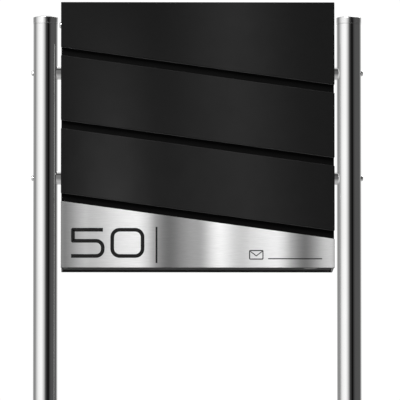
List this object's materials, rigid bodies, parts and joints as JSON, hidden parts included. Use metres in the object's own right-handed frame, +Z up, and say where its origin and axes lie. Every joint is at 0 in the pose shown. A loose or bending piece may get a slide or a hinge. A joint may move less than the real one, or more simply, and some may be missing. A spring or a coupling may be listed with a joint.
{
  "type": "letterbox on posts",
  "caption": "Letterbox held between round steel posts on foot plates, with a slatted hinged front, a plain name plate, a hinged top lid over the letter opening and a cam lock.",
  "frame": {"origin": "on the floor, midway between the two posts", "axes": "+Z up, -Y out of the front, +X to the right of a person who faces the front"},
  "size_m": [0.5321, 0.12, 1.213],
  "materials": {
    "polished_steel": "polished stainless steel",
    "brushed_plate": "horizontally brushed stainless steel",
    "black_coat": "satin black powder coat",
    "zinc_steel": "zinc plated",
    "lock_metal": "nickel plated die casting",
    "nylon": "natural nylon",
    "black_rubber": "matt"
  },
  "bodies": {
    "stand": {"post_left": "polished_steel", "post_right": "polished_steel", "post_cap_left": "polished_steel", "post_cap_right": "polished_steel", "base_plate_left": "polished_steel", "base_plate_right": "polished_steel", "spacer_left_upper": "polished_steel", "spacer_left_lower": "polished_steel", "spacer_right_upper": "polished_steel", "spacer_right_lower": "polished_steel", "post_bolts": "polished_steel", "bolt_washers": "zinc_steel", "bolt_nuts": "zinc_steel", "housing_wrap": "black_coat", "housing_floor": "black_coat", "top_deck": "black_coat", "deflector": "black_coat", "hinge_ear_upper": "black_coat", "hinge_ear_lower": "black_coat", "hinge_pin_upper": "zinc_steel", "hinge_pin_lower": "zinc_steel", "door_bumpers": "black_rubber", "lid_bumpers": "black_rubber", "lid_pivot_screws": "polished_steel", "lid_pivot_nuts": "zinc_steel", "lock_body": "lock_metal", "lock_nut": "zinc_steel"},
    "door": {"door_pan": "black_coat", "slat_top": "black_coat", "slat_upper_middle": "black_coat", "slat_lower_middle": "black_coat", "plate_carrier": "black_coat", "name_plate": "brushed_plate", "slat_studs": "zinc_steel", "slat_nuts": "zinc_steel", "hinge_bush_upper": "nylon", "hinge_bush_lower": "nylon", "lock_keeper": "zinc_steel"},
    "lid": {"lid": "black_coat"},
    "lock": {"lock_plug": "lock_metal", "lock_cam": "zinc_steel", "lock_cam_screw": "zinc_steel"}
  },
  "joints": [
    {"name": "door_hinge", "type": "hinge", "parent": "stand", "child": "door", "pos_m": [-0.1799, -0.0385, 1.0305], "axis": [0, 0, -1], "range_deg": [0, 90]},
    {"name": "lid_hinge", "type": "hinge", "parent": "stand", "child": "lid", "pos_m": [0, 0.044, 1.191], "axis": [-1, 0, 0], "range_deg": [0, 70]},
    {"name": "lock_turn", "type": "hinge", "parent": "stand", "child": "lock", "pos_m": [0.1534, -0.007, 0.863], "axis": [0, 0, -1], "range_deg": [0, 90]}
  ]
}
